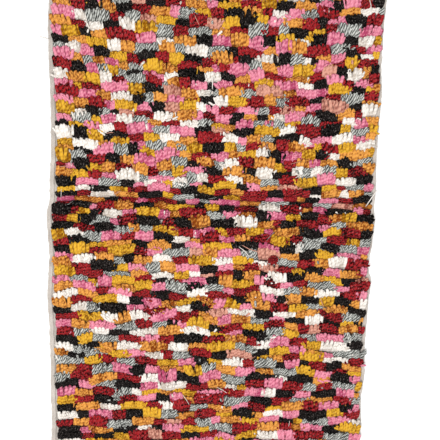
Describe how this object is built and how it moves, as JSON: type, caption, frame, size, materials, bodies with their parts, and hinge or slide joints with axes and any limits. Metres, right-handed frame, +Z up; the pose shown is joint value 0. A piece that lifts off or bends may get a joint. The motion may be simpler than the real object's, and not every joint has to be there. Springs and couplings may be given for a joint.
{
  "type": "moroccan rug",
  "caption": "Thick hand-knotted wool pile rug in random brick-like blocks of colour, with rounded pale selvedges, plain woven end webs and a soft fold crease, lying flat.",
  "frame": {"origin": "on the surface that the rug lies on, under the middle of the rug", "axes": "+Z up through the pile, +X across the rug along its rows of knots, +Y along the rug, the way that the pile leans and towards the top of the picture"},
  "size_m": [0.8, 1.5, 0.0272],
  "materials": {
    "ground_wool": "undyed wool, weft-faced plain weave, matt",
    "pile_wool": "thick plied wool pile in mustard, ochre, pink, crimson, black, ivory, marled grey and dusty pink, matt and fluffy"
  },
  "bodies": {
    "root": {"ground_weave": "ground_wool", "pile": "pile_wool"}
  },
  "joints": []
}
